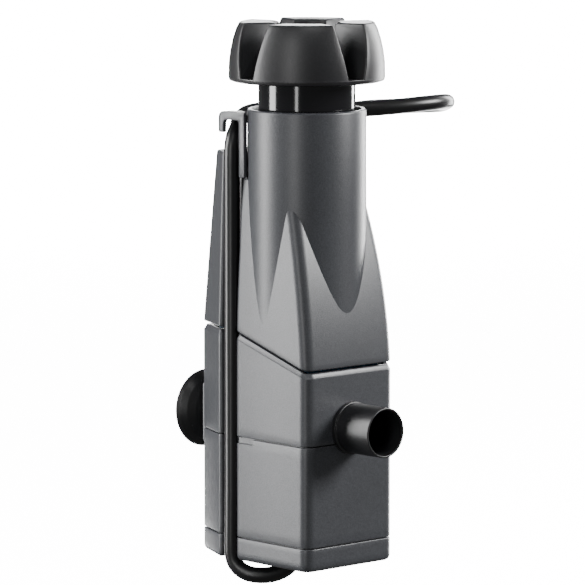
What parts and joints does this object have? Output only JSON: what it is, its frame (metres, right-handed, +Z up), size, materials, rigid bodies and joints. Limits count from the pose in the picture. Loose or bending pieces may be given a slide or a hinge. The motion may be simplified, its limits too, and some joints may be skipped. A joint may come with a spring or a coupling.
{
  "type": "internal power filter",
  "caption": "Surface-skimming internal aquarium filter: floating crown on a sliding tube, stacked casings, outlet spigot, suction cup and mains cord.",
  "frame": {"origin": "centre of the suction cup's face, on the glass it sticks to", "axes": "+Y into the glass along the suction cup's axis, -Y along the outlet spigot, +Z up along the skimmer tube"},
  "size_m": [0.1111, 0.134, 0.1902],
  "materials": {
    "casing": "fine moulded grain, satin",
    "dark_plastic": "satin",
    "gloss_tube": "gloss",
    "rubber": "satin",
    "cord": "satin",
    "foam": "open-cell foam",
    "impeller_plastic": "satin",
    "magnet": "coated ferrite",
    "ceramic": "polished ceramic",
    "laminations": "varnished sheet steel",
    "copper": "enamelled copper wire",
    "resin": "cast resin",
    "bobbin": "satin",
    "pin_metal": "polished"
  },
  "bodies": {
    "filter": {"tube_seal": "rubber", "upper_housing": "casing", "middle_housing": "casing", "pump_housing": "casing", "base_cap": "casing", "housing_seal": "rubber", "cap_seal": "rubber", "nozzle_seal": "rubber", "foam_cartridge": "foam", "foam_screen": "dark_plastic", "pump_cover": "dark_plastic", "impeller_shaft": "ceramic", "upper_bush": "rubber", "lower_bush": "rubber", "rotor_can": "dark_plastic", "stator_core": "laminations", "coil_bobbin": "bobbin", "stator_coil": "copper", "suction_cup": "rubber", "cup_holder": "casing", "cord_hook": "casing", "potting": "resin", "cord_gland": "rubber", "power_cord": "cord", "cord_coil": "cord", "plug_lead": "cord", "cord_tie": "dark_plastic", "plug_body": "rubber", "plug_pins": "pin_metal"},
    "skimmer": {"skimmer_crown": "casing", "skimmer_tube": "gloss_tube"},
    "rotor": {"impeller": "impeller_plastic", "rotor_magnet": "magnet"},
    "nozzle": {"outlet_nozzle": "dark_plastic"}
  },
  "joints": [
    {"name": "skimmer_slide", "type": "slide", "parent": "filter", "child": "skimmer", "axis": [0, 0, 1], "range_m": [0, 0.03]},
    {"name": "impeller_spin", "type": "hinge", "parent": "filter", "child": "rotor", "pos_m": [0, -0.0556, -0.0159], "axis": [0, 0, 1], "continuous": true},
    {"name": "outlet_swivel", "type": "hinge", "parent": "filter", "child": "nozzle", "pos_m": [0, -0.0816, 0.0011], "axis": [0, -1, 0], "continuous": true}
  ]
}
